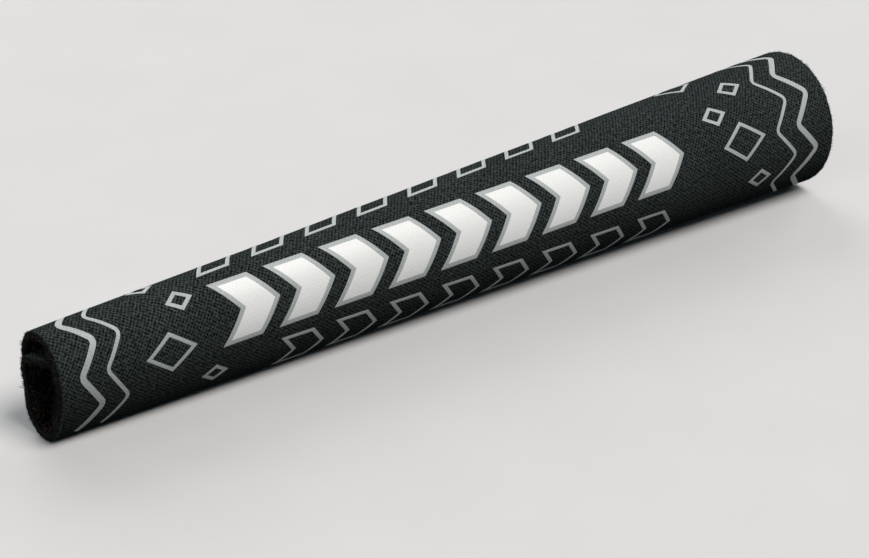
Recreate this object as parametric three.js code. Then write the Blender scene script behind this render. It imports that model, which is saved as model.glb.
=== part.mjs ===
// A bicycle frame protector, closed into a tapered tube as it lies on a table.
// It is one soft laminated sheet, woven outside and looped inside, rolled about one and a half turns
// at the narrow end and a little over one turn at the wide end, with a hook strip under the overlap
// and a printed pattern on the outside.
// Lengths are in millimetres. +X runs to the wide end, -Y is the printed side, +Z is up.

import * as THREE from 'three';

// Driving dimensions: the rolled sheet
const TUBE_LENGTH = 250;
const SHEET_THICKNESS = 2;
const NARROW_WIDTH = 18.8;
const NARROW_HEIGHT = 29.6;
const NARROW_EGG = 0.13;
const NARROW_SKEW_Y = 0.084;
const NARROW_SKEW_Z = 0.036;
const NARROW_LEAD = 2.2;
const LEAD_MIDDLE = 0.45;
const WIDE_WIDTH = 38.2;
const WIDE_HEIGHT = 39.2;
const FLAT_DEPTH = 0.35;

// Driving dimensions: the overlap
const NARROW_EDGE_ANGLE = 88;
const WIDE_EDGE_ANGLE = 76;
const NARROW_OVERLAP = 37;
const WIDE_OVERLAP = 17;
const NARROW_SAG = 3.6;
const WIDE_SAG = 0.4;
const SAG_TURN = 172;
const STEP_TURN = 45;
const STEP_MARGIN = 5;

// Driving dimensions: the hook strip
const HOOK_WIDTH = 12;
const HOOK_THICKNESS = 0.5;
const HOOK_EDGE_INSET = 2;
const HOOK_END_INSET = 3;
const SEAT_GAP = 0.15;
const LAYER_GAP = HOOK_THICKNESS + 2 * SEAT_GAP;

// Driving dimensions: the print
const FILM_RISE = 0.2;
const FILM_THICKNESS = 0.25;
const CHEVRON_PITCH = 16.6;
const CHEVRON_STROKE = 8.6;
const CHEVRON_POINT = 5.4;
const BORDER_GAP = 0.3;
const BORDER_WIDTH = 0.9;
const LINE_WIDTH = 1;
const BOLD_LINE_WIDTH = 1.6;

// Rows of chevrons: the angle of the row from the top, how far it stays from the narrow end and from
// the wide end, and its height.
const MAIN_ROW = { angle: -58, start: 47, end: 54, height: 14.6 };
const UPPER_ROW = { angle: 25, start: 45, end: 64, height: 12.6 };
const LOWER_ROW = { angle: -123, start: 63, end: 47, height: 10.4 };

// Zigzag lines round each end: how far the bold line's outer corners are from that end, the depth of
// a tooth, how far the thin line is behind the bold one, and the number of straight stretches.
const NARROW_ZIGZAG = { start: 5, depth: 6, spacing: 7, stretches: 6 };
const WIDE_ZIGZAG = { start: 6, depth: 7, spacing: 8, stretches: 8 };
const ZIGZAG_CORNER = 1.6;
const ZIGZAG_FAR_MARGIN = 20;
const ZIGZAG_NEAR_ANGLE = -142;

// Diamonds in outline, by the number of steps from the narrow end or the wide end and by the angle from
// the top. The share is that of the largest diamond's size.
const DIAMOND_STEP = 10;
const DIAMOND_LENGTH = 14;
const DIAMOND_HEIGHT = 10.4;
const NARROW_DIAMONDS = [
  { step: 3, angle: -77, share: 0.92 },
  { step: 3.6, angle: -27, share: 0.44 },
  { step: 3, angle: 14, share: 0.44 },
  { step: 4.3, angle: -118, share: 0.44 },
];
const WIDE_DIAMONDS = [
  { step: 3.3, angle: -66, share: 1 },
  { step: 4, angle: -36, share: 0.5 },
  { step: 2.9, angle: -14, share: 0.5 },
  { step: 4.1, angle: 20, share: 0.85 },
  { step: 2.7, angle: -105, share: 0.5 },
];

// How finely curved surfaces are cut
const LENGTH_STEPS = 16;
const OUTER_STEPS = 34;
const INNER_STEPS = 30;
const HOOK_STEPS = 4;
const FILM_STEP = 2.7;
const CORNER_STEPS = 3;
const MARCH_STEP = 0.04;
const NORMAL_STEP = 0.01;

const DEGREE = Math.PI / 180;
const FULL_TURN = 2 * Math.PI;

const woven = new THREE.MeshStandardMaterial({ color: 0x262927, roughness: 0.85, metalness: 0 });
const hooks = new THREE.MeshStandardMaterial({ color: 0x151515, roughness: 0.7, metalness: 0 });
const printWhite = new THREE.MeshStandardMaterial({ color: 0xf4f7f6, roughness: 0.5, metalness: 0 });
const printGrey = new THREE.MeshStandardMaterial({ color: 0xa4abaa, roughness: 0.5, metalness: 0 });

const mix = THREE.MathUtils.lerp;
const smooth = THREE.MathUtils.smoothstep;

// The rolled section

// The outline of the tube at a share of its length, without the overlap. The angle starts at the top
// and grows towards the far side.
function outline(share, angle) {
  const halfWidth = mix(NARROW_WIDTH, WIDE_WIDTH, share) / 2;
  const egg = mix(NARROW_EGG, 0, share);
  const y = halfWidth * Math.sin(angle) * (1 + egg * Math.cos(angle));
  const z = halfHeight(share) * (1 + Math.cos(angle));
  return new THREE.Vector2(y, z);
}

function halfHeight(share) {
  return (mix(NARROW_HEIGHT, WIDE_HEIGHT, share) + FLAT_DEPTH) / 2;
}

// The angle at which the outer free edge lies.
function edgeAngle(share) {
  return mix(NARROW_EDGE_ANGLE, WIDE_EDGE_ANGLE, share) * DEGREE;
}

// Half of the angle that the flat spot takes at the bottom.
function flatHalfAngle(share) {
  return Math.acos(1 - FLAT_DEPTH / halfHeight(share));
}

// The outward normal of a curve at a parameter, from two points close to it. The sheet is rolled
// from the far side over the top to the near side, so outward is to the right of its direction.
function normalOf(curve, at) {
  const along = curve(at + NORMAL_STEP).sub(curve(at - NORMAL_STEP));
  return new THREE.Vector2(along.y, -along.x).normalize();
}

// The sheet's woven face. The turn is the angle rolled so far from the outer free edge: over the top,
// down the near side, along the bottom, up the far side and on inside the first turn. Just before its
// free edge the sheet steps in to make room for the overlap.
function face(share, turn) {
  const around = (value) => outline(share, edgeAngle(share) - value);
  const stepEnd = FULL_TURN - STEP_MARGIN * DEGREE;
  const stepStart = stepEnd - STEP_TURN * DEGREE;
  const inset = (SHEET_THICKNESS + LAYER_GAP) * smooth(turn, stepStart, stepEnd);
  const sagShare = THREE.MathUtils.clamp((turn - stepEnd) / (SAG_TURN * DEGREE), 0, 1);
  const sag = mix(NARROW_SAG, WIDE_SAG, share) * Math.sin(Math.PI * sagShare) ** 2;
  const point = around(turn).addScaledVector(normalOf(around, turn), -inset);
  point.y -= sag;
  return point;
}

// A point at a depth below the woven face, or above it where the depth is negative. The bottom is
// pressed flat. The narrow end is cut a little askew, and its roll creeps out over the first turn.
function place(share, turn, depth) {
  const curve = (value) => face(share, value);
  const point = curve(turn).addScaledVector(normalOf(curve, turn), -depth);
  const y = point.x;
  const z = Math.max(point.y - FLAT_DEPTH, depth);
  const askew = NARROW_SKEW_Y * y + NARROW_SKEW_Z * (z - NARROW_HEIGHT / 2);
  const creep = NARROW_LEAD * (Math.min(turn / FULL_TURN, 1) - LEAD_MIDDLE);
  return [TUBE_LENGTH * share - (askew + creep) * (1 - share) ** 3, y, z];
}

// The turn that lies a distance along the woven face from another one.
function turnAt(share, from, distance) {
  const step = MARCH_STEP * Math.sign(distance);
  let turn = from;
  let left = Math.abs(distance);
  let here = face(share, turn);
  while (left > 0) {
    const next = face(share, turn + step);
    const length = next.distanceTo(here);
    turn += step * Math.min(1, left / length);
    left -= length;
    here = next;
  }
  return turn;
}

function lastTurn(share, inset = 0) {
  return turnAt(share, FULL_TURN, mix(NARROW_OVERLAP, WIDE_OVERLAP, share) - inset);
}

// Evenly spaced values from one to another, both ends included.
function steps(from, to, count) {
  return Array.from({ length: count + 1 }, (_, i) => mix(from, to, i / count));
}

// Solids

// A closed solid from rings of points. Each ring lists one side of a strip and then its other side
// back again, so that the end caps are strips too.
function stripSolid(rings, closed = false) {
  const size = rings[0].length;
  const index = [];
  const quad = (a, b, c, d) => index.push(a, b, c, a, c, d);
  const spans = closed ? rings.length : rings.length - 1;
  for (let i = 0; i < spans; i++) {
    const here = i * size;
    const next = ((i + 1) % rings.length) * size;
    for (let j = 0; j < size; j++) {
      const k = (j + 1) % size;
      quad(here + j, next + j, next + k, here + k);
    }
  }
  const end = (rings.length - 1) * size;
  for (let j = 0; !closed && j < size / 2 - 1; j++) {
    quad(j, j + 1, size - 2 - j, size - 1 - j);
    quad(end + size - 1 - j, end + size - 2 - j, end + j + 1, end + j);
  }
  const geometry = new THREE.BufferGeometry();
  geometry.setAttribute('position', new THREE.Float32BufferAttribute(rings.flat(2), 3));
  geometry.setIndex(signedVolume(rings.flat(), index) < 0 ? index.reverse() : index);
  geometry.computeVertexNormals();
  return geometry;
}

function signedVolume(points, index) {
  const corner = (i) => new THREE.Vector3(...points[index[i]]);
  let volume = 0;
  for (let i = 0; i < index.length; i += 3) {
    volume += corner(i).dot(corner(i + 1).cross(corner(i + 2)));
  }
  return volume / 6;
}

const protector = new THREE.Group();

function addPiece(name, geometry, material) {
  const mesh = new THREE.Mesh(geometry, material);
  mesh.name = name;
  protector.add(mesh);
}

// The sheet: every ring is its rolled section, woven face out and back along the lining. One span of
// each ring is the flat spot, so that its faces lie in one plane.
function sheetTurns(share) {
  const bottom = edgeAngle(share) + Math.PI;
  const flatHalf = flatHalfAngle(share);
  const outer = steps(0, bottom - flatHalf, OUTER_STEPS);
  const inner = steps(bottom + flatHalf, lastTurn(share), INNER_STEPS);
  return [...outer, ...inner];
}

function sheetRing(share) {
  const turns = sheetTurns(share);
  const outside = turns.map((turn) => place(share, turn, 0));
  const inside = turns.map((turn) => place(share, turn, SHEET_THICKNESS));
  return [...outside, ...inside.reverse()];
}

addPiece('wrap', stripSolid(steps(0, 1, LENGTH_STEPS).map(sheetRing)), woven);

// The hook strip, on the woven face along the sheet's inner edge. It grips the lining of the turn
// outside it.
function hookRing(share) {
  const from = lastTurn(share, HOOK_EDGE_INSET + HOOK_WIDTH);
  const turns = steps(from, lastTurn(share, HOOK_EDGE_INSET), HOOK_STEPS);
  const under = turns.map((turn) => place(share, turn, -SEAT_GAP));
  const over = turns.map((turn) => place(share, turn, -SEAT_GAP - HOOK_THICKNESS));
  return [...under, ...over.reverse()];
}

const hookEnd = HOOK_END_INSET / TUBE_LENGTH;
addPiece('hook_strip', stripSolid(steps(hookEnd, 1 - hookEnd, LENGTH_STEPS).map(hookRing)), hooks);

// The print

// A point above the woven face. Along is measured from the narrow end, and around from the top
// towards the far side.
function onFace(along, around, lift) {
  const share = along / TUBE_LENGTH;
  return place(share, turnAt(share, edgeAngle(share), -around), -lift);
}

// A thin film between two edges, each a list of points on the face.
function film(name, left, right, closed, material) {
  const low = FILM_RISE;
  const high = FILM_RISE + FILM_THICKNESS;
  const rings = left.map((from, i) => [
    onFace(from.x, from.y, low),
    onFace(right[i].x, right[i].y, low),
    onFace(right[i].x, right[i].y, high),
    onFace(from.x, from.y, high),
  ]);
  addPiece(name, stripSolid(rings, closed), material);
}

// The side that points away from a path, at each of its points, long enough at a corner for both of
// its edges to be the same distance away.
function mitres(path, closed) {
  const count = path.length;
  const at = (i) => path[closed ? (i + count) % count : THREE.MathUtils.clamp(i, 0, count - 1)];
  const across = (a, b) => new THREE.Vector2(b.y - a.y, a.x - b.x).normalize();
  return path.map((point, i) => {
    const before = at(i - 1).equals(point) ? across(point, at(i + 1)) : across(at(i - 1), point);
    const after = at(i + 1).equals(point) ? before : across(point, at(i + 1));
    const side = before.clone().add(after).normalize();
    return side.divideScalar(side.dot(after));
  });
}

function offsetPath(path, distance, closed) {
  const sides = mitres(path, closed);
  return path.map((point, i) => point.clone().addScaledVector(sides[i], distance));
}

// The same path with points added so that it follows the curved face.
function refine(path, closed) {
  const count = closed ? path.length : path.length - 1;
  const points = [];
  for (let i = 0; i < count; i++) {
    const from = path[i];
    const to = path[(i + 1) % path.length];
    const parts = Math.max(1, Math.ceil(Math.abs(to.y - from.y) / FILM_STEP));
    for (let k = 0; k < parts; k++) {
      points.push(from.clone().lerp(to, k / parts));
    }
  }
  return closed ? points : [...points, path[path.length - 1]];
}

// A line of one width along a path.
function line(name, path, width, closed, material) {
  const fine = refine(path, closed);
  film(name, offsetPath(fine, width / 2, closed), offsetPath(fine, -width / 2, closed), closed, material);
}

// How far round from the top the face is at an angle, negative on the near side.
function aroundAt(along, angle) {
  const share = along / TUBE_LENGTH;
  let around = 0;
  let here = outline(share, 0);
  const parts = Math.ceil(Math.abs(angle) * DEGREE / MARCH_STEP);
  for (let i = 1; i <= parts; i++) {
    const next = outline(share, angle * DEGREE * i / parts);
    around += next.distanceTo(here);
    here = next;
  }
  return around * Math.sign(angle);
}

// A point of the print at a height over a row, which keeps its angle along the tube.
function rowPoint(angle, along, height) {
  return new THREE.Vector2(along, aroundAt(along, angle) + height);
}

// The corners of a chevron that points to the wide end, anticlockwise from its lower left.
function chevronCorners(row, left) {
  const half = row.height / 2;
  const right = left + CHEVRON_STROKE;
  const point = CHEVRON_POINT * row.height / MAIN_ROW.height;
  return [
    rowPoint(row.angle, left, -half),
    rowPoint(row.angle, right, -half),
    rowPoint(row.angle, right + point, 0),
    rowPoint(row.angle, right, half),
    rowPoint(row.angle, left, half),
    rowPoint(row.angle, left + point, 0),
  ];
}

function rowChevrons(row) {
  const room = TUBE_LENGTH - row.start - row.end - CHEVRON_STROKE - CHEVRON_POINT;
  const count = 1 + Math.max(0, Math.floor(room / CHEVRON_PITCH));
  return Array.from({ length: count }, (_, i) => chevronCorners(row, row.start + i * CHEVRON_PITCH));
}

// The bold row: white chevrons, each with a grey border.
rowChevrons(MAIN_ROW).forEach((corners, i) => {
  const [lowLeft, lowRight, tip, highRight, highLeft, notch] = corners;
  const left = refine([lowLeft, notch, highLeft], false);
  const right = refine([lowRight, tip, highRight], false);
  film(`print_chevron_${i + 1}`, left, right, false, printWhite);
  const borderMiddle = offsetPath(corners, BORDER_GAP + BORDER_WIDTH / 2, true);
  line(`print_border_${i + 1}`, borderMiddle, BORDER_WIDTH, true, printGrey);
});

// The faint rows above and below it: smaller chevrons in outline.
rowChevrons(UPPER_ROW).forEach((corners, i) => {
  line(`print_upper_${i + 1}`, corners, LINE_WIDTH, true, printGrey);
});
rowChevrons(LOWER_ROW).forEach((corners, i) => {
  line(`print_lower_${i + 1}`, corners, LINE_WIDTH, true, printGrey);
});

// The same open path with its corners rounded.
function roundCorners(path, cut) {
  const points = [path[0]];
  for (let i = 1; i < path.length - 1; i++) {
    const corner = path[i];
    const toward = (other) => other.clone().sub(corner).setLength(cut).add(corner);
    const bend = new THREE.QuadraticBezierCurve(toward(path[i - 1]), corner, toward(path[i + 1]));
    points.push(...bend.getPoints(CORNER_STEPS));
  }
  points.push(path[path.length - 1]);
  return points;
}

// A zigzag round the tube, from near the outer free edge to low on the near side. The direction is 1
// from the narrow end and -1 from the wide end.
function zigzagPath(zigzag, behind, direction) {
  const end = direction > 0 ? 0 : TUBE_LENGTH;
  const points = steps(0, 1, zigzag.stretches).map((share, i) => {
    const along = end + direction * (zigzag.start + behind + (i % 2) * zigzag.depth);
    const far = edgeAngle(along / TUBE_LENGTH) / DEGREE - ZIGZAG_FAR_MARGIN;
    return rowPoint(mix(far, ZIGZAG_NEAR_ANGLE, share), along, 0);
  });
  return roundCorners(points, ZIGZAG_CORNER);
}

function addZigzags(end, zigzag, direction) {
  line(`print_${end}_zigzag_bold`, zigzagPath(zigzag, 0, direction), BOLD_LINE_WIDTH, false, printGrey);
  line(`print_${end}_zigzag_thin`, zigzagPath(zigzag, zigzag.spacing, direction), LINE_WIDTH, false, printGrey);
}

addZigzags('narrow', NARROW_ZIGZAG, 1);
addZigzags('wide', WIDE_ZIGZAG, -1);

function addDiamonds(end, diamonds) {
  diamonds.forEach(({ step, angle, share }, i) => {
    const along = end === 'narrow' ? step * DIAMOND_STEP : TUBE_LENGTH - step * DIAMOND_STEP;
    const halfLength = share * DIAMOND_LENGTH / 2;
    const halfHeight = share * DIAMOND_HEIGHT / 2;
    const corners = [
      rowPoint(angle, along - halfLength, 0),
      rowPoint(angle, along, -halfHeight),
      rowPoint(angle, along + halfLength, 0),
      rowPoint(angle, along, halfHeight),
    ];
    line(`print_${end}_diamond_${i + 1}`, corners, LINE_WIDTH, true, printGrey);
  });
}

addDiamonds('narrow', NARROW_DIAMONDS);
addDiamonds('wide', WIDE_DIAMONDS);

protector.updateMatrixWorld(true);
const box = new THREE.Box3().setFromObject(protector);
const centre = box.getCenter(new THREE.Vector3());
protector.position.set(-centre.x, -centre.y, 0);

export default protector;
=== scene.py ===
"""A bicycle frame protector: a soft woven wrap, rolled into a tapered tube, with a printed pattern.

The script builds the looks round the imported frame: the laminated sheet with its woven face, foam core
and looped lining, the frayed ends of its cut yarns, the hook strip and the print films.
Lengths are in metres, in the frame's own axes: +X to the wide end, -Y the printed side, +Z up.
"""

import math

import bmesh
import bpy
import numpy as np
from bpy.props import FloatProperty, FloatVectorProperty, PointerProperty
from mathutils import Matrix, Vector


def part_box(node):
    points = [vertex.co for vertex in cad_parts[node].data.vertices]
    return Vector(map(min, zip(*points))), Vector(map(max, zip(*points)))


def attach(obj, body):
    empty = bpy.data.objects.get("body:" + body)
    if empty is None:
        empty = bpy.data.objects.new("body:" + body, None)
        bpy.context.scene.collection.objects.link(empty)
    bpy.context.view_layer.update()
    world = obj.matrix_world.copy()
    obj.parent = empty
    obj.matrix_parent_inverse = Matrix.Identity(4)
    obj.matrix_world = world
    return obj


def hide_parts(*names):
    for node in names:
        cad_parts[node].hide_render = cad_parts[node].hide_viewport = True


bl_info = {
    "name": "Bicycle Frame Protector",
    "version": (1, 0, 0),
    "blender": (4, 5, 0),
    "location": "View3D > Sidebar > Protector",
    "description": "A rolled woven wrap with a printed pattern, built round a packed frame",
    "category": "Add Mesh",
}

MM = 0.001
DEGREE = math.pi / 180
FULL_TURN = 2 * math.pi

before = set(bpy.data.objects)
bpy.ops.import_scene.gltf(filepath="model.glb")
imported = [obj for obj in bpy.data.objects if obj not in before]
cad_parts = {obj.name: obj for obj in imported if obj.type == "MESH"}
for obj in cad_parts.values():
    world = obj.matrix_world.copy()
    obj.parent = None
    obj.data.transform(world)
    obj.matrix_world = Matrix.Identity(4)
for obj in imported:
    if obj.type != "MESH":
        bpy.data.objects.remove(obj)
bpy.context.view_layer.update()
WRAP_LOW, WRAP_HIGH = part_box("wrap")


# Colours

def linear(hex_colour):
    """The linear colour of an sRGB hex value such as "#a4abaa"."""
    shares = [int(hex_colour[i:i + 2], 16) / 255 for i in (1, 3, 5)]
    return tuple(s / 12.92 if s <= 0.04045 else ((s + 0.055) / 1.055) ** 2.4 for s in shares)


# Properties

def in_mm(name, description, default_mm):
    """A length property whose default is given in millimetres."""
    return FloatProperty(name=name, description=description, default=default_mm * MM, unit="LENGTH",
                         precision=5)


def in_degrees(name, description, default_degrees):
    """An angle property whose default is given in degrees."""
    return FloatProperty(name=name, description=description, default=default_degrees * DEGREE,
                         unit="ROTATION")


def plain(name, description, default):
    """A plain number."""
    return FloatProperty(name=name, description=description, default=default)


def in_hex(name, description, default_hex):
    """A colour property whose default is given as sRGB hex."""
    return FloatVectorProperty(name=name, description=description, subtype="COLOR", size=3, min=0, max=1,
                               default=linear(default_hex))


class ProtectorSheet(bpy.types.PropertyGroup):
    """Sizes of the rolled sheet, as in the frame, which has neither the narrow recess nor the ripple."""

    tube_length: in_mm("Tube length", "From the narrow end to the wide end", 250)
    thickness: in_mm("Thickness", "Woven face, foam and lining together", 2)
    narrow_width: in_mm("Narrow width", "Outer width at the narrow end", 18.8)
    narrow_height: in_mm("Narrow height", "Outer height at the narrow end", 29.6)
    narrow_egg: plain("Narrow egg", "How much wider the top is than the bottom at the narrow end", 0.13)
    narrow_skew_y: plain("Narrow skew Y", "How far the narrow end's cut leans to the far side", 0.084)
    narrow_skew_z: plain("Narrow skew Z", "How far the narrow end's cut leans back at the top", 0.036)
    wide_width: in_mm("Wide width", "Outer width at the wide end", 38.2)
    wide_height: in_mm("Wide height", "Outer height at the wide end", 39.2)
    flat_depth: in_mm("Flat depth", "How far the bottom is pressed flat", 0.35)
    narrow_edge: in_degrees("Narrow edge", "Angle of the outer free edge at the narrow end", 88)
    wide_edge: in_degrees("Wide edge", "Angle of the outer free edge at the wide end", 76)
    narrow_overlap: in_mm("Narrow overlap", "Length of the second layer at the narrow end", 37)
    wide_overlap: in_mm("Wide overlap", "Length of the second layer at the wide end", 17)
    narrow_sag: in_mm("Narrow sag", "How far the inner turn drops at the narrow end", 3.6)
    wide_sag: in_mm("Wide sag", "How far the inner turn drops at the wide end", 0.4)
    sag_turn: in_degrees("Sag turn", "Over how much of the roll the inner turn hangs free", 172)
    step_turn: in_degrees("Step turn", "Over how much of the roll the sheet steps in under its edge", 45)
    step_margin: in_degrees("Step margin", "How far before the free edge the step is done", 5)
    narrow_lead: in_mm("Narrow lead", "How far the narrow end creeps out over the first turn", 2.2)
    narrow_recess: in_mm("Narrow recess", "How far the inner turn draws back on the near side", 1.9)
    layer_gap: in_mm("Layer gap", "Between the outer turn and the inner turn", 0.8)
    ripple: in_mm("Ripple", "How uneven the soft sheet lies", 0.16)


class ProtectorPrint(bpy.types.PropertyGroup):
    """Sizes of the printed pattern, as in the frame. Only the film, the border gap and the border width
    differ from it and are as the real print shows."""

    film: in_mm("Film", "Thickness of the printed film as seen", 0.07)
    pitch: in_mm("Chevron pitch", "From one chevron to the next", 16.6)
    stroke: in_mm("Chevron stroke", "Width of a chevron along the tube", 8.6)
    point: in_mm("Chevron point", "How far a chevron's tip is ahead of its ends", 5.4)
    border_gap: in_mm("Border gap", "Between a chevron and its border", 0.02)
    border_width: in_mm("Border width", "Width of a chevron's grey border", 1.2)
    line_width: in_mm("Line width", "Width of the thin grey lines", 1)
    bold_line_width: in_mm("Bold line width", "Width of the bold zigzag lines", 1.6)
    zigzag_corner: in_mm("Zigzag corner", "How far from its corner a zigzag starts to bend", 1.6)
    zigzag_far_margin: in_degrees("Zigzag far margin", "Room between a zigzag and the free edge", 20)
    zigzag_near_angle: in_degrees("Zigzag near angle", "Where a zigzag ends on the near side", -142)
    diamond_step: in_mm("Diamond step", "Step in which the diamonds are placed", 10)
    diamond_length: in_mm("Diamond length", "Length of the largest diamond", 14)
    diamond_height: in_mm("Diamond height", "Height of the largest diamond", 10.4)


class ProtectorFinish(bpy.types.PropertyGroup):
    """Colours of the finishes."""

    yarn: in_hex("Yarn", "Black nylon yarn where it catches the light", "#383f3e")
    # Painted shade: the near-black colour of the pores, where shade falls between the yarns.
    pore_shade: in_hex("Yarn gap", "The dark pores between the yarns", "#050708")
    foam: in_hex("Foam", "Cut edge of the thin foam core", "#333330")
    lining: in_hex("Lining", "Brown-black looped lining", "#1f1b18")
    pile: in_hex("Pile", "Loops of the lining where they catch the light", "#443c34")
    hook: in_hex("Hook tape", "Black hook tape", "#1a1a1a")
    white: in_hex("White print", "White print film", "#f4f6f5")
    grey: in_hex("Grey print", "Light grey print film", "#aeb5b5")
    floor: in_hex("Floor", "Pale floor paint", "#d6d6d6")
    backdrop: in_hex("Backdrop", "Pale backdrop behind the floor", "#e6e7e6")
    key: in_hex("Key light", "Slightly warm light of the overhead softbox", "#fffaf6")
    fill: in_hex("Fill light", "Cool light from all sides, which fills the shaded side", "#b0d8f2")


# The rolled sheet as a surface

# The place on the first turn where the narrow end neither leads nor trails
LEAD_MIDDLE = 0.45
# The turns rolled where the inner turn starts to draw back, and over how much of a turn it does so.
RECESS_START = 1.18
RECESS_SPAN = 0.24
# The frame's origin lies in the middle of its box, and the roll's own at the narrow end.
ROLL_LENGTH = 250 * MM
ROLL_WIDE_WIDTH = 38.2 * MM
ROLL_ORIGIN = Vector((WRAP_HIGH.x - ROLL_LENGTH, WRAP_LOW.y + ROLL_WIDE_WIDTH / 2, 0))


def smooth(value):
    """0 below 0 and 1 above 1, with an even rise between them."""
    value = np.clip(value, 0, 1)
    return value * value * (3 - 2 * value)


def run_along(points):
    """How far along a path each of its points is."""
    return np.concatenate([[0], np.cumsum(np.linalg.norm(np.diff(points, axis=0), axis=1))])


class Roll:
    """Places on the rolled sheet. share runs from 0 at the narrow end to 1 at the wide end."""

    NORMAL_STEP = 0.01
    # How finely the sheet's width is measured, and how far past the first turn it may roll.
    RUN_SAMPLES = 1400
    SECOND_TURN = 4.2
    # The table of angles by distance from the top, and how finely and how far round it is measured.
    TABLE_SHARES = 101
    TABLE_STEP = 0.25 * MM
    TABLE_LOW = -70 * MM
    TABLE_HIGH = 45 * MM
    TABLE_SAMPLES = 1500
    TABLE_NEAR_ANGLE = -1.2 * math.pi
    TABLE_FAR_ANGLE = 0.9 * math.pi
    # Lengths of the slow and the fine unevenness along the tube, in millimetres for each radian.
    SLOW_WAVE = 21
    SLOW_DRIFT = 57
    FINE_WAVE = 9.5
    FINE_DRIFT = 31
    # How far the waves bend round the tube, and the share of each.
    SLOW_BEND = 1.7
    FINE_BEND = 2
    SLOW_PART = 0.7
    FINE_PART = 0.3
    # The unevenness fades where the sheet lies on the floor.
    FADE_START = 0.93
    FADE_SPAN = 0.5
    # The power by which the narrow end's lean fades along the tube.
    LEAN_FADE = 3

    def __init__(self, sheet):
        self.sheet = sheet
        self.make_angle_table()

    @staticmethod
    def mix(narrow, wide, share):
        return narrow + (wide - narrow) * share

    def half_height(self, share):
        height = self.mix(self.sheet.narrow_height, self.sheet.wide_height, share)
        return (height + self.sheet.flat_depth) / 2

    def outline(self, share, angle):
        """Section of the tube without its overlap. The angle grows from the top to the far side."""
        half_width = self.mix(self.sheet.narrow_width, self.sheet.wide_width, share) / 2
        egg = self.mix(self.sheet.narrow_egg, 0, share)
        y = half_width * np.sin(angle) * (1 + egg * np.cos(angle))
        z = self.half_height(share) * (1 + np.cos(angle))
        return np.stack([y, z], -1)

    def edge_angle(self, share):
        return self.mix(self.sheet.narrow_edge, self.sheet.wide_edge, share)

    def normal(self, curve, at):
        """The outward normal of a curve, from two points close to it."""
        along = curve(at + self.NORMAL_STEP) - curve(at - self.NORMAL_STEP)
        side = np.stack([along[..., 1], -along[..., 0]], -1)
        return side / np.linalg.norm(side, axis=-1, keepdims=True)

    def face(self, share, turn):
        """The woven face. The turn is the angle rolled so far from the outer free edge."""
        sheet = self.sheet
        step_end = FULL_TURN - sheet.step_margin
        inset = (sheet.thickness + sheet.layer_gap) * smooth((turn - step_end) / sheet.step_turn + 1)
        hang = np.clip((turn - step_end) / sheet.sag_turn, 0, 1)
        sag = self.mix(sheet.narrow_sag, sheet.wide_sag, share) * np.sin(math.pi * hang) ** 2

        def around(value):
            return self.outline(share, self.edge_angle(share) - value)

        point = around(turn) - self.normal(around, turn) * inset[..., None]
        point[..., 1] -= sag
        return point

    def ripple(self, share, turn):
        """Slow unevenness of the soft sheet. Both layers of the overlap share it."""
        x = self.sheet.tube_length * share / MM
        angle = self.edge_angle(share) - turn
        slow = np.sin(x / self.SLOW_WAVE + self.SLOW_BEND * np.sin(angle))
        slow *= np.sin(2 * angle + x / self.SLOW_DRIFT)
        fine = np.sin(x / self.FINE_WAVE + self.FINE_BEND * np.sin(2 * angle))
        fine *= np.sin(4 * angle - x / self.FINE_DRIFT)
        free = np.clip((np.cos(angle) + self.FADE_START) / self.FADE_SPAN, 0, 1)
        return self.sheet.ripple * (self.SLOW_PART * slow + self.FINE_PART * fine) * free

    def place(self, share, turn, depth):
        """Points at a depth below the woven face, negative above it, in the frame's axes."""
        share, turn, depth = np.broadcast_arrays(np.asarray(share, float), turn, depth)

        def curve(value):
            return self.face(share, value)

        sheet = self.sheet
        lowered = depth - self.ripple(share, turn)
        point = curve(turn) - self.normal(curve, turn) * lowered[..., None]
        y = point[..., 0]
        z = np.maximum(point[..., 1] - sheet.flat_depth, depth)
        askew = sheet.narrow_skew_y * y + sheet.narrow_skew_z * (z - sheet.narrow_height / 2)
        rolled = turn / FULL_TURN
        askew += sheet.narrow_lead * (np.minimum(rolled, 1) - LEAD_MIDDLE)
        askew -= sheet.narrow_recess * smooth((rolled - RECESS_START) / RECESS_SPAN)
        x = sheet.tube_length * share - askew * (1 - share) ** self.LEAN_FADE
        return np.stack([x, y, z], -1) + np.array(ROLL_ORIGIN)

    def even_turns(self, share, count):
        """Turns at equal distances along the sheet, from its free edge to its inner edge."""
        dense = np.linspace(0, FULL_TURN + self.SECOND_TURN, self.RUN_SAMPLES)
        run = run_along(self.face(np.full(dense.shape, float(share)), dense))
        overlap = self.mix(self.sheet.narrow_overlap, self.sheet.wide_overlap, share)
        width = np.interp(FULL_TURN, dense, run) + overlap
        return np.interp(np.linspace(0, width, count), run, dense), width

    def width_at(self, share):
        """Length of the sheet from its free edge to its inner edge."""
        return self.even_turns(share, 2)[1]

    def turns_at(self, share, places, count=600):
        """Turns at given distances along the sheet from its free edge."""
        turns, width = self.even_turns(share, count)
        return np.interp(places, np.linspace(0, width, count), turns)

    def make_angle_table(self):
        """Angles from the top at equal distances round the outline, for every share of the length."""
        shares = np.linspace(0, 1, self.TABLE_SHARES)
        self.distances = np.arange(self.TABLE_LOW, self.TABLE_HIGH, self.TABLE_STEP)
        angles = np.linspace(self.TABLE_NEAR_ANGLE, self.TABLE_FAR_ANGLE, self.TABLE_SAMPLES)
        rows = []
        self.run_rows = []
        for value in shares:
            run = run_along(self.outline(np.full(angles.shape, value), angles))
            run -= np.interp(0, angles, run)
            self.run_rows.append(run)
            rows.append(np.interp(self.distances, run, angles))
        self.run_angles = angles
        self.angle_table = np.array(rows)

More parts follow.
